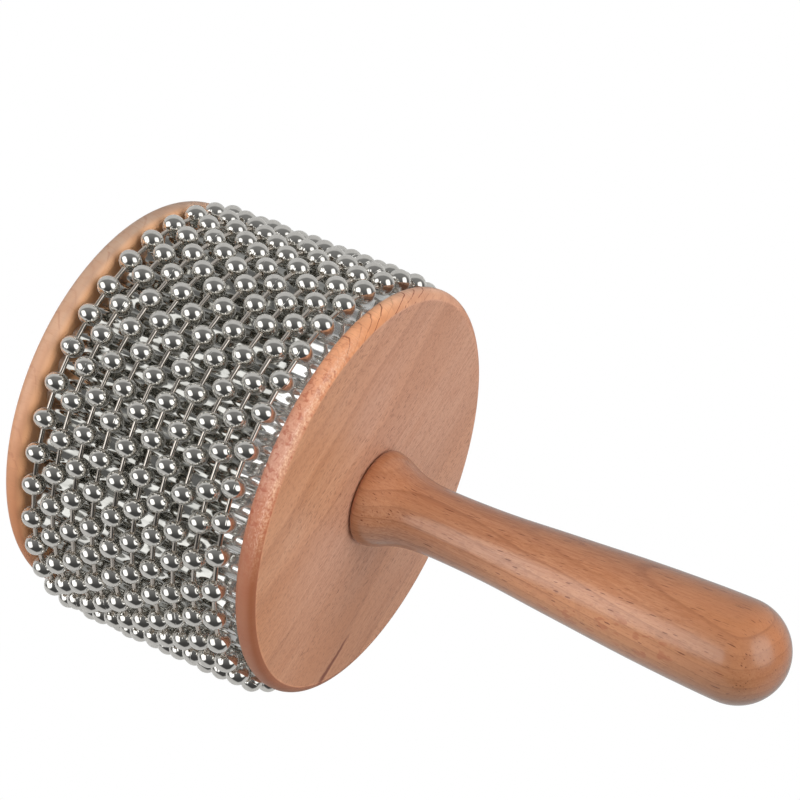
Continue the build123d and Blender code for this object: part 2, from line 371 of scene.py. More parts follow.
def rim_of(bottom, tones, line_tone, arc_gap, arc_zone, arc_mix, speck_zone, speck_mix, edge_shade=0.0, inner=None, streak=None):
    """Colours the worked edge of a disc: tones round the rim by angle, growth lines that hook across
    it in one zone and torn, specked end grain in another. edge_shade is painted shade on the rim towards the disc's
    top side, and inner, when given, is painted light: a paler orange on that side which lifts the shade the beads cast
    there."""

    def extra(s, coords, colour, end):
        mm = s.vec("MULTIPLY", coords.outputs["Object"], (1000, 1000, 1000))
        part = s.add("ShaderNodeSeparateXYZ")
        s.put(part.inputs[0], mm)
        facing = s.add("ShaderNodeSeparateXYZ")
        s.put(facing.inputs[0], coords.outputs["Normal"])
        flat = s.math("ABSOLUTE", facing.outputs[2])
        rim = s.ramp(flat, 0.9996, 0.986)
        turn = s.math("ARCTAN2", part.outputs[1], part.outputs[0])
        way = s.math("MULTIPLY_ADD", turn, 1 / (2 * math.pi), 0.5)
        ramp = s.add("ShaderNodeValToRGB")
        s.put(ramp.inputs[0], way)
        ramp.color_ramp.interpolation = "B_SPLINE"
        els = ramp.color_ramp.elements
        while len(els) < len(tones):
            els.new(0.5)
        for el, (deg, tone) in zip(els, tones):
            el.position = deg / 360 + 0.5
            el.color = tone
        arc_mm = s.math("MULTIPLY", turn, DISC_R)
        across = s.math("DIVIDE", s.math("SUBTRACT", part.outputs[2], bottom), DISC_T)
        soft = s.noise(s.vec("MULTIPLY", mm, (0.22, 0.22, 0.35)), 1.0, 2.0, 0.5)
        rimcol = s.mix(s.ramp(soft, 0.3, 0.7, 0.0, 0.28), ramp.outputs[0], line_tone)
        # Fine lines straight across the rim.
        comb = s.add("ShaderNodeCombineXYZ")
        s.put(comb.inputs[0], s.math("MULTIPLY", arc_mm, 1.9))
        s.put(comb.inputs[1], s.math("MULTIPLY", across, 1.2))
        fine = s.noise(comb.outputs[0], 1.0, 4.0, 0.7)
        rimcol = s.mix(s.ramp(fine, 0.5, 0.72, 0.0, 0.42), rimcol, line_tone)
        # Hooked growth lines.
        hook = s.math("MULTIPLY", s.math("POWER", s.math("MAXIMUM", across, 0.0), 4.0), -7.0)
        wave = s.math("MULTIPLY", s.math("SUBTRACT", soft, 0.5), 3.0)
        count = s.math("DIVIDE", s.math("ADD", s.math("ADD", arc_mm, hook), wave), arc_gap)
        pos = s.math("FRACT", count)
        strength = s.add("ShaderNodeTexWhiteNoise", noise_dimensions="1D")
        s.put(strength.inputs["W"], s.math("FLOOR", count))
        lines = s.math("MULTIPLY", s.ramp(pos, 0.0, 0.04), s.ramp(pos, 0.17, 0.08))
        lines = s.math("MULTIPLY", lines, s.ramp(strength.outputs[0], 0.1, 0.9, 0.25, 1.0))
        degrees = s.math("MULTIPLY", turn, 180 / math.pi)
        zone = s.math("MULTIPLY", s.ramp(degrees, arc_zone[0], arc_zone[0] + 14), s.ramp(degrees, arc_zone[1], arc_zone[1] - 12))
        broken = s.ramp(s.noise(s.vec("MULTIPLY", mm, (0.9, 0.9, 0.9)), 1.0, 2.0, 0.6), 0.34, 0.48)
        rimcol = s.mix(s.math("MULTIPLY", s.math("MULTIPLY", lines, s.math("MULTIPLY", zone, broken)), arc_mix), rimcol, rgb(146, 66, 38))
        # Torn end grain: pale and dark specks.
        torn_zone = s.math("MULTIPLY", s.ramp(degrees, speck_zone[0], speck_zone[0] + 25), s.ramp(degrees, speck_zone[1], speck_zone[1] - 25))
        lay = s.add("ShaderNodeCombineXYZ")
        s.put(lay.inputs[0], s.math("MULTIPLY", arc_mm, 0.8))
        s.put(lay.inputs[1], s.math("MULTIPLY", across, 3.2))
        blotch = s.noise(lay.outputs[0], 1.0, 3.0, 0.6, 0.8)
        torn = s.noise(s.vec("MULTIPLY", lay.outputs[0], (1.9, 5.0, 1.0)), 1.0, 4.0, 0.75)
        edge_side = s.ramp(across, 0.15, 0.9, 0.45, 1.0)
        red = s.math("MULTIPLY", s.ramp(blotch, 0.50, 0.66), torn_zone)
        rimcol = s.mix(s.math("MULTIPLY", red, speck_mix * 0.75), rimcol, rgb(156, 70, 44))
        pale = s.math("MULTIPLY", s.math("MULTIPLY", s.ramp(torn, 0.48, 0.66), torn_zone), edge_side)
        pale = s.math("MULTIPLY", pale, s.ramp(blotch, 0.62, 0.44))
        rimcol = s.mix(s.math("MULTIPLY", pale, speck_mix * 0.8), rimcol, rgb(224, 186, 164))
        worn = s.math("MULTIPLY", s.ramp(across, 0.62, 0.86), s.ramp(across, 1.0, 0.93))
        worn = s.math("MULTIPLY", worn, s.math("MULTIPLY", torn_zone, s.ramp(torn, 0.40, 0.60)))
        rimcol = s.mix(s.math("MULTIPLY", worn, speck_mix * 0.6), rimcol, rgb(228, 194, 174))
        shade = s.math("MULTIPLY", s.ramp(across, 0.60, 0.95, 0.0, edge_shade), s.math("SUBTRACT", 1.0, torn_zone))
        rimcol = s.mix(shade, rimcol, (0.72, 0.60, 0.50, 1.0), "MULTIPLY")
        # Painted light: a paler orange on the rim's drum side and the edge of the inner face, lifting the shade that
        # the beads cast there.
        if inner is not None:
            rimcol = s.mix(s.ramp(across, 0.72, 0.97, 0.0, 0.65), rimcol, inner)
            colour = s.mix(s.ramp(across, 0.9, 0.98, 0.0, 0.85), colour, inner)
        colour = s.mix(rim, colour, rimcol)
        # The streak hook paints the face's marks and, on the front disc, painted shade where the handle's shadow
        # falls.
        if streak is not None:
            colour = streak(s, part, colour)
        rougher = s.math("MULTIPLY", rim, s.math("MULTIPLY_ADD", torn_zone, 0.8, 0.2))
        return colour, rougher, s.math("MULTIPLY", s.math("MULTIPLY", rim, torn_zone), 0.12)

    return extra


def metal(name, colour, rough_low, rough_high, tint=None, bump_scale=(1.2, 1.2, 1.2), bump_mm=0.01, edge=0.0):
    """Bright plated metal with slightly uneven polish."""
    s = Shader(name)
    coords = s.add("ShaderNodeTexCoord")
    at = s.vec("MULTIPLY", coords.outputs["Object"], (1000, 1000, 1000))
    haze = s.noise(s.vec("MULTIPLY", at, (0.9, 0.9, 0.9)), 1.0, 4.0, 0.6)
    speck = s.noise(s.vec("MULTIPLY", at, (9, 9, 9)), 1.0, 2.0, 0.6)
    if tint is None:
        tint = tuple(c * 0.86 for c in colour[:3]) + (1.0,)
    s.put(s.bsdf.inputs["Base Color"], s.mix(s.ramp(haze, 0.35, 0.75, 0.0, 0.8), colour, tint))
    rough = s.ramp(s.math("ADD", s.math("MULTIPLY", haze, 0.6), s.math("MULTIPLY", speck, 0.4)), 0.35, 0.68, rough_low, rough_high)
    s.put(s.bsdf.inputs["Metallic"], 1.0)
    if edge:
        # Seen edge-on, the plating looks paler and less sharp.
        glance = s.add("ShaderNodeLayerWeight")
        glance.inputs["Blend"].default_value = 0.5
        slant = s.ramp(glance.outputs["Facing"], 0.34, 0.80)
        s.put(s.bsdf.inputs["Metallic"], s.math("MULTIPLY_ADD", slant, -edge, 1.0))
        rough = s.math("MULTIPLY_ADD", slant, 0.22, rough)
    s.put(s.bsdf.inputs["Roughness"], rough)
    wave = s.noise(s.vec("MULTIPLY", at, bump_scale), 1.0, 2.0, 0.5)
    s.put(s.bsdf.inputs["Normal"], s.bump(wave, bump_mm * MM, 1.0))
    return s.mat


# ------------------------------------------------------------------ materials
def face_marks_and_shade(s, part, colour):
    """One dark mineral streak in the face, along the grain, a warmer patch beside the handle, a warmer tint towards
    one side, and painted shade: the face darker towards one edge, where the handle's shadow falls.
    """
    x, y = part.outputs[0], part.outputs[1]
    along = s.math("ADD", s.math("MULTIPLY", x, FACE_GRAIN[0]), s.math("MULTIPLY", y, FACE_GRAIN[1]))
    across = s.math("SUBTRACT", s.math("MULTIPLY", x, FACE_GRAIN[1]), s.math("MULTIPLY", y, FACE_GRAIN[0]))
    comb = s.add("ShaderNodeCombineXYZ")
    s.put(comb.inputs[0], s.math("MULTIPLY", along, 0.13))
    bend = s.math("MULTIPLY", s.math("SUBTRACT", s.noise(comb.outputs[0], 1.0, 2.0), 0.5), 1.6)
    off = s.math("ABSOLUTE", s.math("SUBTRACT", s.math("ADD", across, bend), STREAK[0]))
    run = s.math("MULTIPLY", s.ramp(along, STREAK[1], STREAK[1] + 6), s.ramp(along, STREAK[2], STREAK[2] - 3))
    wide = s.ramp(along, STREAK[1], STREAK[2], 0.3, 1.0, smooth=False)
    mask = s.math("MULTIPLY", s.ramp(s.math("DIVIDE", off, wide), 1.3, 0.5), run)
    top = s.ramp(part.outputs[2], FOOT_Z - 1.2, FOOT_Z - 0.4)
    colour = s.mix(s.math("MULTIPLY", s.math("MULTIPLY", mask, top), 0.8), colour, rgb(124, 58, 36))
    dx, dy = s.math("SUBTRACT", x, PATCH[0]), s.math("SUBTRACT", y, PATCH[1])
    far = s.math("SQRT", s.math("ADD", s.math("MULTIPLY", dx, dx), s.math("MULTIPLY", dy, dy)))
    patch = s.math("MULTIPLY", s.ramp(far, 17.0, 4.0, 0.0, 0.5), top)
    colour = s.mix(patch, colour, (1.0, 0.94, 0.78, 1.0), "MULTIPLY")
    side = s.math("SUBTRACT", s.math("MULTIPLY", x, 0.25), s.math("MULTIPLY", y, 0.968))
    colour = s.mix(s.math("MULTIPLY", s.ramp(side, 12.0, 46.0, 0.0, 0.6), top), colour, (1.0, 0.92, 0.70, 1.0), "MULTIPLY")
    # Painted shade: the face is darkened towards this edge, standing in for the shadow the handle casts there.
    painted_shade_down = s.math("ADD", s.math("MULTIPLY", x, 0.978), s.math("MULTIPLY", y, 0.21))
    return s.mix(s.math("MULTIPLY", s.ramp(painted_shade_down, 2.0, 40.0, 0.0, 0.7), top), colour, (0.86, 0.74, 0.58, 1.0), "MULTIPLY")


FACE_GRAIN = (0.932, -0.362)
STREAK = (-28.2, 20.0, 37.5)
PATCH = (1.0, -25.0)
rim_front = rim_of(
    bottom=FOOT_Z - DISC_T,
    tones=(
        (-180, rgb(230, 182, 156)), (-152, rgb(238, 192, 162)), (-138, rgb(242, 176, 128)), (-118, rgb(226, 158, 116)),
        (-102, rgb(202, 142, 114)), (-90, rgb(194, 146, 126)), (-76, rgb(186, 118, 86)), (-66, rgb(165, 106, 78)), (-42, rgb(158, 104, 78)), (-5, rgb(176, 124, 100)),
        (60, rgb(204, 156, 130)), (150, rgb(206, 152, 124)), (180, rgb(228, 180, 154)),
    ),
    line_tone=rgb(158, 92, 66), arc_gap=4.2, arc_zone=(-174, -112), arc_mix=0.95,
    speck_zone=(-136, -52), speck_mix=0.8, edge_shade=0.75, streak=face_marks_and_shade,
)
rim_back = rim_of(
    bottom=0.0,
    tones=(
        (-180, rgb(210, 170, 142)), (-150, rgb(186, 159, 139)), (-120, rgb(184, 155, 134)), (-80, rgb(212, 162, 128)),
        (-40, rgb(194, 124, 80)), (0, rgb(178, 116, 76)), (90, rgb(210, 168, 138)), (180, rgb(212, 170, 140)),
    ),
    line_tone=rgb(178, 122, 88), arc_gap=6.5, arc_zone=(-165, -50), arc_mix=0.25,
    # inner is painted light against the beads' shade on the drum side of this rim.
    speck_zone=(-30, 50), speck_mix=0.15, inner=rgb(238, 178, 128),
)
wood_front = beech(
    "beech_front_disc", grain=(0.932, -0.362, 0.0), radial=(0, 0, 1), pith=(4.0, -75.0), ring_width=2.3,
    light=rgb(213, 164, 138), dark=rgb(198, 145, 118), line=rgb(126, 68, 44), warm=rgb(206, 150, 119),
    end_tone=rgb(190, 116, 82), dash=(0.36, 1.6, 2.6), dash_size=(0.15, 0.31), dash_mix=0.95, fine_mix=0.6,
    ring_mix=0.12, band_mix=0.10, fleck_mix=0.1, rough=0.5, coat=0.06, coat_rough=0.3, end_mix=0.6, seed=3.0, extra=rim_front,
)
wood_back = beech(
    "beech_back_disc", grain=(0.25, 0.968, 0.0), radial=(0, 0, 1), pith=(-4.0, -60.0), ring_width=2.6,
    light=rgb(216, 174, 146), dark=rgb(204, 158, 128), line=rgb(168, 112, 82), warm=rgb(214, 162, 126),
    end_tone=rgb(198, 138, 102), dash=(0.75, 3.5, 4.4), dash_size=(0.15, 0.30), dash_mix=0.5, fine_mix=0.25,
    ring_mix=0.12, band_mix=0.06, fleck_mix=0.1, rough=0.46, coat=0.1, coat_rough=0.28, end_mix=0.6, seed=41.0, extra=rim_back,
)


def handle_tone_and_shade(s, coords, colour, end):
    """Towards its upper side the handle is a deeper, darker orange. Towards its lower side it is darker as painted
    shade, and the low side of its end is darker still, also painted shade. Reddish flecks lie on the lower flank.
    """
    mm = s.vec("MULTIPLY", coords.outputs["Object"], (1000, 1000, 1000))
    side = s.vec("DOT_PRODUCT", coords.outputs["Normal"], (-0.92, -0.2, 0.0))
    cloud = s.noise(s.vec("MULTIPLY", mm, (0.12, 0.12, 0.03)), 1.0, 2.0, 0.5)
    side = s.math("ADD", side, s.math("MULTIPLY", s.math("SUBTRACT", cloud, 0.5), 0.9))
    colour = s.mix(s.ramp(side, -0.1, 0.8, 0.0, 0.55), colour, (0.92, 0.70, 0.48, 1.0), "MULTIPLY")
    # Painted shade: the lower side is darkened, standing in for the light it lacks from below.
    colour = s.mix(s.ramp(side, -0.1, -0.8, 0.0, 0.6), colour, (0.77, 0.79, 0.74, 1.0), "MULTIPLY")
    part = s.add("ShaderNodeSeparateXYZ")
    s.put(part.inputs[0], mm)
    z = part.outputs[2]
    # Painted shade: the low side of the handle's end is darkened further.
    low_end_shade = s.math("MULTIPLY", s.ramp(z, 126.0, 158.0, 0.0, 0.8), s.ramp(side, 0.75, 0.05, 0.2, 1.0))
    colour = s.mix(low_end_shade, colour, (0.66, 0.60, 0.52, 1.0), "MULTIPLY")
    spots = s.ramp(s.noise(s.vec("MULTIPLY", mm, (0.55, 0.55, 0.30)), 1.0, 2.0, 0.5), 0.57, 0.64)
    belt = s.math("MULTIPLY", s.ramp(z, 104.0, 116.0), s.ramp(z, 152.0, 140.0))
    flank = s.math("MULTIPLY", s.ramp(side, -0.95, -0.6), s.ramp(side, 0.05, -0.25))
    spots = s.math("MULTIPLY", s.math("MULTIPLY", spots, belt), flank)
    colour = s.mix(s.math("MULTIPLY", spots, 0.5), colour, rgb(158, 84, 52))
    return colour, end, end


wood_handle = beech(
    "beech_handle", grain=(0.02, 0.03, 1.0), radial=(-0.85, -0.52, 0.0), pith=(3.0, -27.0), ring_width=2.1,
    light=rgb(193, 140, 106), dark=rgb(177, 120, 86), line=rgb(120, 62, 36), warm=rgb(200, 138, 96),
    end_tone=rgb(184, 116, 76), dash=(0.36, 0.75, 5.4), dash_size=(0.13, 0.28), dash_mix=0.85, fine_mix=0.26,
    ring_mix=0.24, band_mix=0.10, fleck_mix=0.12, rough=0.42, coat=1.0, coat_rough=0.14, end_rough=0.04, end_mix=0.4, seed=17.0,
    extra=handle_tone_and_shade,
)
wood_core = beech(
    "plain_core_wood", grain=(0, 0, 1), radial=(1, 0, 0), pith=(0.0, 10.0), ring_width=3.5,
    light=rgb(214, 184, 146), dark=rgb(198, 162, 120), line=rgb(150, 108, 70), warm=rgb(206, 168, 122),
    end_tone=rgb(184, 140, 98), rough=0.6, coat=0.0, seed=77.0,
)
NICKEL = rgb(240, 238, 233)
bead_metal = metal("bright_nickel", NICKEL, 0.02, 0.05, bump_scale=(0.7, 0.7, 0.7), bump_mm=0.012, edge=0.45)
link_metal = metal("nickel_wire", rgb(222, 214, 205), 0.06, 0.12, bump_scale=(1.6, 1.6, 1.6), bump_mm=0.01, edge=0.45)


def rubbed_and_shaded_sheet():
    """Bright sheet, dulled and darker where the beads lie on it, partly as rubbing wear and partly as painted shade
    for the shade of the beads, and left bright in the bare strip by each disc.
    """
    s = Shader("bright_sheet")
    coords = s.add("ShaderNodeTexCoord")
    at = s.vec("MULTIPLY", coords.outputs["Object"], (1000, 1000, 1000))
    part = s.add("ShaderNodeSeparateXYZ")
    s.put(part.inputs[0], at)
    z = part.outputs[2]
    haze = s.noise(s.vec("MULTIPLY", at, (0.5, 0.5, 0.25)), 1.0, 3.0, 0.55)
    drawn = s.noise(s.vec("MULTIPLY", at, (3.5, 3.5, 0.05)), 1.0, 2.0, 0.5)
    edge = s.math("ADD", z, s.math("MULTIPLY", s.math("SUBTRACT", haze, 0.5), 1.6))
    bare = s.math("MAXIMUM", s.ramp(edge, 52.5, 56.5), s.ramp(edge, 6.6, 5.2))
    # Under the beads the sheet is darker: partly rubbing wear, partly painted shade standing in for the shade between
    # the beads.
    dull_and_shaded = s.mix(s.ramp(haze, 0.35, 0.7), rgb(190, 190, 186), rgb(170, 170, 166))
    bright = s.mix(s.ramp(drawn, 0.35, 0.7, 0.0, 0.5), rgb(250, 250, 249), rgb(236, 236, 235))
    s.put(s.bsdf.inputs["Base Color"], s.mix(bare, dull_and_shaded, bright))
    s.put(s.bsdf.inputs["Metallic"], s.ramp(bare, 0.0, 1.0, 1.0, 0.80, smooth=False))
    rough = s.math("ADD", s.ramp(bare, 0.0, 1.0, 0.10, 0.07, smooth=False), s.ramp(haze, 0.35, 0.7, -0.01, 0.02))
    s.put(s.bsdf.inputs["Roughness"], rough)
    s.put(s.bsdf.inputs["Normal"], s.bump(drawn, 0.0002 * MM, 1.0))
    return s.mat


sheet_metal = rubbed_and_shaded_sheet()
bolt_metal = metal("zinc_plate", rgb(190, 190, 186), 0.22, 0.38, bump_scale=(2, 2, 2), bump_mm=0.004)
nail_metal = metal("nail_steel", rgb(176, 174, 170), 0.2, 0.4, bump_scale=(2, 2, 2), bump_mm=0.004)
brass_metal = metal("machined_brass", rgb(224, 188, 108), 0.16, 0.3, bump_scale=(2, 2, 2), bump_mm=0.004)


def dress(obj, mat):
    obj.data.materials.clear()
    obj.data.materials.append(mat)


# ------------------------------------------------------------------ wooden discs
def disc_profile(bottom, top, round_r):
    """Half section of a disc from the axis round its rim and back, with closely spaced rim points."""
    flat = np.append(np.linspace(0, DISC_R - round_r - 0.4, 14), DISC_R - round_r - 0.06)
    low = np.stack([flat, np.full(len(flat), bottom)], 1)
    rim_low = arc(DISC_R - round_r, bottom + round_r, round_r, -90, 0, 12)
    rim_high = arc(DISC_R - round_r, top - round_r, round_r, 0, 90, 12)
    high = np.stack([flat[::-1], np.full(len(flat), top)], 1)
    return np.vstack([low, rim_low, rim_high, high])


front = lathe("front_disc_body", disc_profile(FOOT_Z - DISC_T, FOOT_Z, DISC_ROUND), 256)
dress(front, wood_front)
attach(front, "drum")
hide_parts("front_disc")

back_section = disc_profile(0.0, DISC_T, DISC_ROUND)
start = 14
low_face = np.append(np.linspace(7.2, DISC_R - DISC_ROUND - 0.4, 12), DISC_R - DISC_ROUND - 0.06)
back_section = np.vstack(
    [
        [[2.55, 2.9], [6.9, 2.9], [7.2, 2.75], [7.2, 0.25], [7.35, 0.0]],
        np.stack([low_face[1:], np.zeros(len(low_face) - 1)], 1),
        arc(DISC_R - DISC_ROUND, DISC_ROUND, DISC_ROUND, -90, 0, 12),
        arc(DISC_R - DISC_ROUND, DISC_T - DISC_ROUND, DISC_ROUND, 0, 90, 12),
        np.stack([low_face[::-1], np.full(len(low_face), DISC_T)], 1),
        [[2.55, DISC_T]],
    ]
)
back = ring_lathe("back_disc_body", back_section, 256, sharp=40)
dress(back, wood_back)
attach(back, "drum")
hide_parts("back_disc")

# ------------------------------------------------------------------ handle
side = natural_curve(HANDLE, 150, 0.0, 0.0)
foot = arc(HANDLE[0][0] - 1.5, 1.5, 1.5, -90, 0, 10)
end = arc(0.0, HANDLE[-1][1], HANDLE[-1][0], 0, 90, 40)
section = np.vstack([[[0.0, 0.0], [4.0, 0.0]], foot[:-1], side, end[1:-1], [[0.0, HANDLE[-1][1] + HANDLE[-1][0]]]])
section[:, 1] += FOOT_Z
grip = lathe("handle_body", section, 128, sharp=60)
dress(grip, wood_handle)
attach(grip, "drum")
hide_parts("handle")

# ------------------------------------------------------------------ corrugated sheet
rng = np.random.default_rng(11)
PER = 16
cols = RIDGES * PER + 1
k = np.arange(cols)
phase = k / PER
seam = 0.15 / RIDGE_R
theta = math.radians(SEAM_ANGLE) + seam + (2 * math.pi - 2 * seam) * k / (cols - 1)
ridge_amp = 1.0 + rng.uniform(-0.05, 0.0, RIDGES + 2)
ridge_lean = rng.uniform(-0.05, 0.05, RIDGES + 2)
near = np.clip(np.round(phase).astype(int), 0, RIDGES + 1)
wave = np.cos(2 * math.pi * (phase + ridge_lean[near] * np.sin(2 * math.pi * phase) ** 2 * 0.35))
shape = np.sign(wave) * np.abs(wave) ** 0.96
rows_z = np.linspace(DISC_T + 0.12, FOOT_Z - DISC_T - 0.12, 15)
wobble = rng.normal(0, 1, (15, RIDGES + 2))
wobble = 0.25 * np.roll(wobble, 1, 0) + 0.5 * wobble + 0.25 * np.roll(wobble, -1, 0)
sheet_out, sheet_in = [], []
for i, z in enumerate(rows_z):
    amp = RIDGE_DEPTH / 2 * ridge_amp[near] * (1 - 0.006 * np.abs(wobble[i, near]))
    r = RIDGE_R - RIDGE_DEPTH / 2 + amp * shape - 0.004 * np.abs(wobble[i, near])
    sheet_out.append(np.stack([r * np.cos(theta), r * np.sin(theta), np.full(cols, z)], 1))
    r = r - SHEET_T
    sheet_in.append(np.stack([r * np.cos(theta), r * np.sin(theta), np.full(cols, z)], 1))
verts = np.vstack(sheet_out + sheet_in)
n_side = 15 * cols
outer = lathe_grid(15, cols, wrap=False)
inner = lathe_grid(15, cols, wrap=False, flip=True) + n_side
c = np.arange(cols - 1)
bottom_edge = np.stack([c, c + n_side, c + 1 + n_side, c + 1], 1)
t = (15 - 1) * cols
top_edge = np.stack([t + c, t + c + 1, t + c + 1 + n_side, t + c + n_side], 1)
rr = np.arange(14)
start_edge = np.stack([rr * cols, (rr + 1) * cols, (rr + 1) * cols + n_side, rr * cols + n_side], 1)
e = cols - 1
end_edge = np.stack([rr * cols + e, rr * cols + e + n_side, (rr + 1) * cols + e + n_side, (rr + 1) * cols + e], 1)
sheet = new_mesh("corrugated_sheet_body", verts, np.vstack([outer, inner, bottom_edge, top_edge, start_edge, end_edge]), None, sharp=60)
dress(sheet, sheet_metal)
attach(sheet, "drum")
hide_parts("corrugated_sheet")

# ------------------------------------------------------------------ bead chain
AZ = 40
CRIMPS = 7


def bead_grid(rnd):
    """One pressed bead about local Y, in millimetres: crimped lips at both ends and a pole-to-pole seam."""
    seam_at = 0.0
    base = np.linspace(0, 2 * math.pi, AZ, endpoint=False) + math.pi / AZ
    az = np.sort(np.concatenate([base, (np.array([-0.045, -0.02, 0.02, 0.045]) + seam_at) % (2 * math.pi)]))
    lat = np.radians(np.concatenate([[14.4, 17, 21, 26, 32, 39], np.linspace(47, 133, 13), [141, 148, 154, 159, 163, 165.6]]))
    a = BEAD_A * np.cos(lat)
    b = BEAD_R * np.sin(lat)
    # Lip turned in at each end, and a shallow cup that the link goes into.
    cup_a = np.array([1.74, 1.80, 2.00, 2.18])
    cup_b = np.array([0.30, 0.52, 0.55, 0.565])
    a = np.concatenate([cup_a, a, -cup_a[::-1]])
    b = np.concatenate([cup_b, b, cup_b[::-1]])
    polar = np.concatenate([np.full(4, 12.0), np.degrees(lat), np.full(4, 168.0)])
    from_pole = np.minimum(polar, 180 - polar)
    fade = np.clip((37 - from_pole) / 18, 0, 1) ** 1.3
    lift = np.zeros((len(a), len(az)))
    for end_sign in (1, -1):
        at_end = (a * end_sign > 0)[:, None]
        turn = rnd.uniform(0, 2 * math.pi)
        for j in range(CRIMPS):
            centre = turn + 2 * math.pi * j / CRIMPS + rnd.uniform(-0.12, 0.12)
            d = np.abs((az - centre + math.pi) % (2 * math.pi) - math.pi)
            groove = np.exp(-((d / 0.13) ** 2)) * rnd.uniform(0.6, 1.0)
            tooth = np.clip(1 - d / 0.5, 0, 1) * rnd.uniform(-0.035, 0.035)
            lift += at_end * fade[:, None] * (-0.085 * groove + tooth)[None, :]
    d = np.abs((az - seam_at + math.pi) % (2 * math.pi) - math.pi)
    slit = np.where(d < 0.03, -0.03, 0.0)
    lift += slit[None, :] * (from_pole > 13)[:, None]
    # The lift is along the outward normal of the bead.
    na = a / BEAD_A
    nb = b / BEAD_R
    norm = np.maximum(np.hypot(na, nb), 1e-6)
    aa = a[:, None] + lift * (na / norm)[:, None]
    bb = b[:, None] + lift * (nb / norm)[:, None]
    pts = np.stack([bb * np.cos(az), aa, bb * np.sin(az)], -1)
    return pts.reshape(-1, 3), len(a), len(az)


def turn_about(axis, angle):
    return np.array(Matrix.Rotation(angle, 3, Vector(axis)))


def sag(angle, depth):
    """How far a loose loop hangs away from the drum, on the side that is low in the reference view."""
    off = (angle - math.radians(12) + math.pi) % (2 * math.pi) - math.pi
    return depth * np.where(np.abs(off) < math.radians(85), 0.5 * (1 + np.cos(off * 180 / 85)), 0.0)


SAG = (2.3, 2.5, 2.5, 2.4, 2.3, 2.1, 2.0, 1.9, 1.8, 1.6)
LINK_AZ = 14
link_a = np.array([-1.0, -1.0, -0.97, -0.90, -0.84, -0.6, 0.0, 0.6, 0.84, 0.90, 0.97, 1.0, 1.0])
link_b = np.array([0.0, 0.44, 0.50, 0.52, 0.51, 0.505, 0.50, 0.505, 0.51, 0.52, 0.50, 0.44, 0.0])

for loop in range(LOOPS):
    body = f"chain_{loop + 1:02d}"
    rnd = np.random.default_rng(100 + loop)
    z0 = FIRST_Z + loop * LOOP_PITCH
    slack = rnd.normal(0, 0.32, BEADS)
    slack = np.clip(slack - slack.mean(), -0.6, 0.6)
    ang = np.radians(PHASES[loop] + np.arange(BEADS) * 360.0 / BEADS + slack)
    rad = CHAIN_R + np.clip(rnd.normal(0, 0.04, BEADS), -0.08, 0.08) + sag(ang, SAG[loop])
    high = z0 + np.clip(rnd.normal(0, 0.010, BEADS), -0.014, 0.014)
    centres = np.stack([rad * np.cos(ang), rad * np.sin(ang), high], 1)
    bead_verts, bead_quads, bead_tris, count = [], [], [], 0
    for i in range(BEADS):
        pts, rows, cols_b = bead_grid(rnd)
        spin = turn_about((0, 1, 0), rnd.uniform(0, 2 * math.pi))
        tilt = turn_about((1, 0, 0), rnd.normal(0, 0.05)) @ turn_about((0, 0, 1), rnd.normal(0, 0.05))
        lie = turn_about((0, 0, 1), ang[i])
        pts = pts @ (lie @ tilt @ spin).T + centres[i]
        bead_verts.append(pts)
        bead_quads.append(lathe_grid(rows, cols_b) + count)
        kk = np.arange(cols_b)
        nn = (kk + 1) % cols_b
        caps = len(pts)
        ends = (pts[:cols_b].mean(0), pts[-cols_b:].mean(0))
        bead_verts.append(np.array(ends))
        bead_tris.append(np.stack([np.full(cols_b, count + caps), count + nn, count + kk], 1))
        lastrow = count + (rows - 1) * cols_b
        bead_tris.append(np.stack([np.full(cols_b, count + caps + 1), lastrow + kk, lastrow + nn], 1))
        count += caps + 2
    beads = new_mesh(f"{body}_beads", np.vstack(bead_verts), np.vstack(bead_quads), np.vstack(bead_tris))
    dress(beads, bead_metal)
    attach(beads, body)
    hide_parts(f"{body}_balls", f"{body}_closing_bead")

    link_verts, link_quads, count = [], [], 0
    az = np.linspace(0, 2 * math.pi, LINK_AZ, endpoint=False)
    for i in range(BEADS):
        p0, p1 = centres[i], centres[(i + 1) % BEADS]
        run = p1 - p0
        length = np.linalg.norm(run)
        run = run / length
        out = (p0 + p1) / 2
        out[2] = 0
        out = out - run * out.dot(run)
        out /= np.linalg.norm(out)
        lift = np.cross(run, out)
        half = length / 2 - 1.78
        b = link_b * rnd.uniform(0.96, 1.04)
        ring = (
            (p0 + p1)[None, None, :] / 2
            + (link_a * half)[:, None, None] * run
            + (b[:, None] * np.cos(az))[:, :, None] * out
            + (b[:, None] * np.sin(az))[:, :, None] * lift
        )
        inner_rows = ring[1:-1].reshape(-1, 3)
        link_verts += [inner_rows, ring[0, :1], ring[-1, :1]]
        rows = len(link_a) - 2
        link_quads.append(("q", lathe_grid(rows, LINK_AZ) + count))
        kk = np.arange(LINK_AZ)
        nn = (kk + 1) % LINK_AZ
        tip = count + len(inner_rows)
        lastrow = count + (rows - 1) * LINK_AZ
        link_quads.append(("t", np.stack([np.full(LINK_AZ, tip), count + nn, count + kk], 1)))
        link_quads.append(("t", np.stack([np.full(LINK_AZ, tip + 1), lastrow + kk, lastrow + nn], 1)))
        count += len(inner_rows) + 2
    links = new_mesh(
        f"{body}_rods",
        np.vstack(link_verts),
        np.vstack([x for kind, x in link_quads if kind == "q"]),
        np.vstack([x for kind, x in link_quads if kind == "t"]),
        sharp=50,
    )
    dress(links, link_metal)
    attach(links, body)
    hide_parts(f"{body}_links")

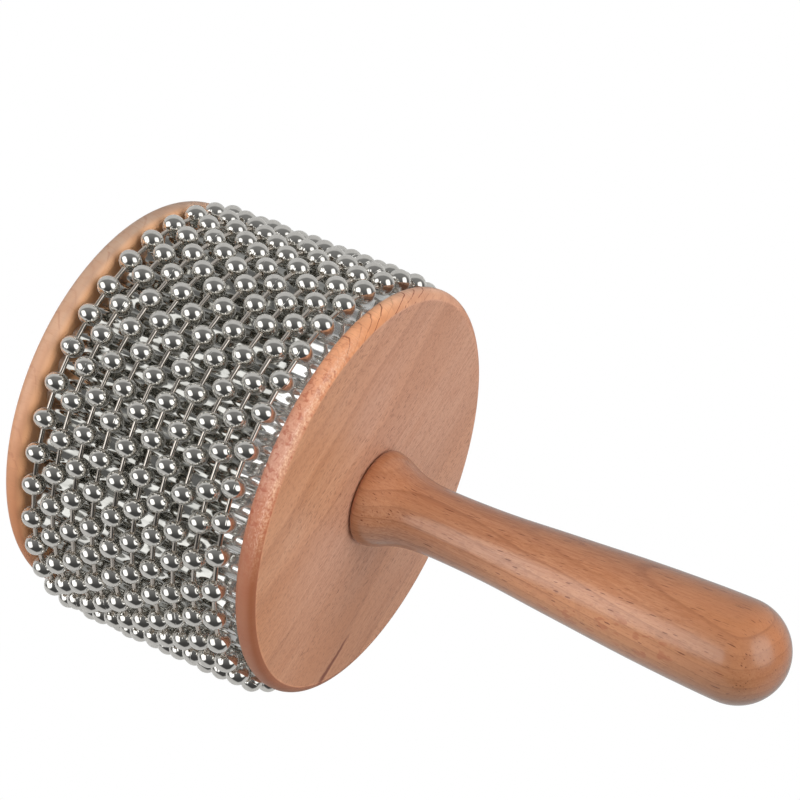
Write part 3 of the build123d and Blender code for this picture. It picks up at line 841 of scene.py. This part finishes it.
# ------------------------------------------------------------------ CAD pieces that stay
dress(nodes["core_drum"], wood_core)
dress(nodes["sheet_nails"], nail_metal)
dress(nodes["tie_bolt"], bolt_metal)
dress(nodes["bolt_washer"], bolt_metal)
dress(nodes["handle_insert"], brass_metal)

# ------------------------------------------------------------------ floor
floor_mesh = bpy.data.meshes.new("floor")
F = 6.0
LOW = -0.1 * MM  # just clear of the base, so that the two faces do not lie in one plane
floor_mesh.from_pydata([(-F, -F, LOW), (F, -F, LOW), (F, F, LOW), (-F, F, LOW)], [], [(0, 1, 2, 3)])
floor = bpy.data.objects.new("floor", floor_mesh)
scene.collection.objects.link(floor)
paper = bpy.data.materials.new("floor_paper")
paper.use_nodes = True
tree = paper.node_tree
tree.nodes.clear()
glow = tree.nodes.new("ShaderNodeEmission")
glow.inputs[0].default_value = (1, 1, 1, 1)
glow.inputs[1].default_value = 1.0
# Only its upper side shows, so the base can be looked at from below.
upper = tree.nodes.new("ShaderNodeMixShader")
tree.links.new(tree.nodes.new("ShaderNodeNewGeometry").outputs["Backfacing"], upper.inputs[0])
tree.links.new(glow.outputs[0], upper.inputs[1])
tree.links.new(tree.nodes.new("ShaderNodeBsdfTransparent").outputs[0], upper.inputs[2])
tree.links.new(upper.outputs[0], tree.nodes.new("ShaderNodeOutputMaterial").inputs[0])
floor_mesh.materials.append(paper)
floor.visible_diffuse = False
floor.visible_glossy = False
floor.visible_transmission = False
floor.visible_shadow = False
floor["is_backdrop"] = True

# ------------------------------------------------------------------ studio light
ROOM = (0.83, 0.625)
ROOM_TONE = (0.215, 0.055)
PAPER = 0.54
FILL = (0.24, 0.47)  # what the wood receives from the paper and from the room
LEFT_PANEL = (-0.49, -0.03, 0.17, 0.25, -14.0, 0.85, 1.6)
RIGHT_PANEL = (0.38, -0.02, 0.18, 0.25, -12.0, 0.9, 1.35)
SOFT_GAIN = (2.65, 3.70)  # the panels' share in the light on the wood
world = bpy.data.worlds.new("studio")
scene.world = world
world.use_nodes = True
wt = world.node_tree
wt.nodes.clear()


def wnode(kind, **props):
    node = wt.nodes.new(kind)
    for key, value in props.items():
        setattr(node, key, value)
    return node


def wmath(op, a, b=0.0):
    node = wnode("ShaderNodeMath", operation=op)
    for socket, value in zip(node.inputs, (a, b)):
        if isinstance(value, bpy.types.NodeSocket):
            wt.links.new(value, socket)
        else:
            socket.default_value = value
    return node.outputs[0]


wcoord = wnode("ShaderNodeTexCoord")


def wdot(v):
    node = wnode("ShaderNodeVectorMath", operation="DOT_PRODUCT")
    wt.links.new(wcoord.outputs["Generated"], node.inputs[0])
    node.inputs[1].default_value = tuple(v)
    return node.outputs["Value"]


def wramp(value, low, high, out_low, out_high):
    node = wnode("ShaderNodeMapRange", interpolation_type="SMOOTHSTEP", clamp=True)
    for socket, v in zip(node.inputs, (value, low, high, out_low, out_high)):
        if isinstance(v, bpy.types.NodeSocket):
            wt.links.new(v, socket)
        else:
            socket.default_value = v
    return node.outputs[0]


# Place in the studio as a polished ball at the object would show it: (0, 0) is the camera's side,
# across is to the camera's right, down is below it, and a length of 1 is straight behind the object.
shrink = wmath("DIVIDE", 1.0, wmath("SQRT", wmath("MULTIPLY", wmath("SUBTRACT", 1.0001, wdot(AHEAD)), 2.0)))
across = wmath("MULTIPLY", wdot(RIGHT), shrink)
down = wmath("MULTIPLY", wdot(DOWN), shrink)


def panel(x, y, half_width, half_height, lean, feather, power):
    """A soft light panel at that place, leaning by an angle, with feathered edges."""
    dx, dy = wmath("SUBTRACT", across, x), wmath("SUBTRACT", down, y)
    c, n = math.cos(math.radians(lean)), math.sin(math.radians(lean))
    u = wmath("ADD", wmath("MULTIPLY", dx, c), wmath("MULTIPLY", dy, n))
    v = wmath("SUBTRACT", wmath("MULTIPLY", dy, c), wmath("MULTIPLY", dx, n))
    u = wmath("POWER", wmath("ABSOLUTE", wmath("DIVIDE", u, half_width)), 3.0)
    v = wmath("POWER", wmath("ABSOLUTE", wmath("DIVIDE", v, half_height)), 3.0)
    return wramp(wmath("ADD", u, v), 1.0 - feather, 1.0 + feather, power, 0.0)


# A dark room on the camera's side, lighter overhead, and white paper behind, under and above.
room = wmath("ADD", wmath("POWER", wmath("DIVIDE", across, ROOM[0]), 2.0), wmath("POWER", wmath("DIVIDE", wmath("SUBTRACT", down, 0.035), ROOM[1]), 2.0))
paper_part = wramp(room, 0.78, 1.22, 0.0, 1.0)
for slope, reach in (((-0.58, 0.81), 0.54), ((0.66, 0.75), 0.64)):  # the table edge to the left and right below
    beyond = wmath("ADD", wmath("MULTIPLY", across, slope[0]), wmath("MULTIPLY", down, slope[1]))
    paper_part = wmath("MAXIMUM", paper_part, wramp(beyond, reach - 0.05, reach + 0.07, 0.0, 1.0))
dim = wramp(down, -0.55, 0.45, ROOM_TONE[0], ROOM_TONE[1])
seen = wmath("ADD", wmath("MULTIPLY", dim, wmath("SUBTRACT", 1.0, paper_part)), wmath("MULTIPLY", paper_part, PAPER))
fill = wmath("ADD", wmath("MULTIPLY", paper_part, FILL[0] - FILL[1]), FILL[1])
path = wnode("ShaderNodeLightPath")
soft_part = path.outputs["Is Diffuse Ray"]
level = wmath("ADD", wmath("MULTIPLY", fill, soft_part), wmath("MULTIPLY", seen, wmath("SUBTRACT", 1.0, soft_part)))
for one, gain in ((panel(*LEFT_PANEL), SOFT_GAIN[0]), (panel(*RIGHT_PANEL), SOFT_GAIN[1])):
    level = wmath("ADD", level, wmath("MULTIPLY", one, wmath("ADD", 1.0, wmath("MULTIPLY", soft_part, gain - 1.0))))
open_part = path.outputs["Is Camera Ray"]  # a plain white backdrop beyond the floor
level = wmath("ADD", wmath("MULTIPLY", level, wmath("SUBTRACT", 1.0, open_part)), open_part)
background = wnode("ShaderNodeBackground")
background.inputs[0].default_value = (1.0, 0.995, 0.985, 1)
wt.links.new(level, background.inputs[1])
wt.links.new(background.outputs[0], wnode("ShaderNodeOutputWorld").inputs[0])

scene.view_settings.view_transform = "Standard"
scene.view_settings.look = "None"
scene.cycles.max_bounces = 16  # light goes to and fro between the beads many times
scene.cycles.glossy_bounces = 14

# ------------------------------------------------------------------ bounds of the shown object
low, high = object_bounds()
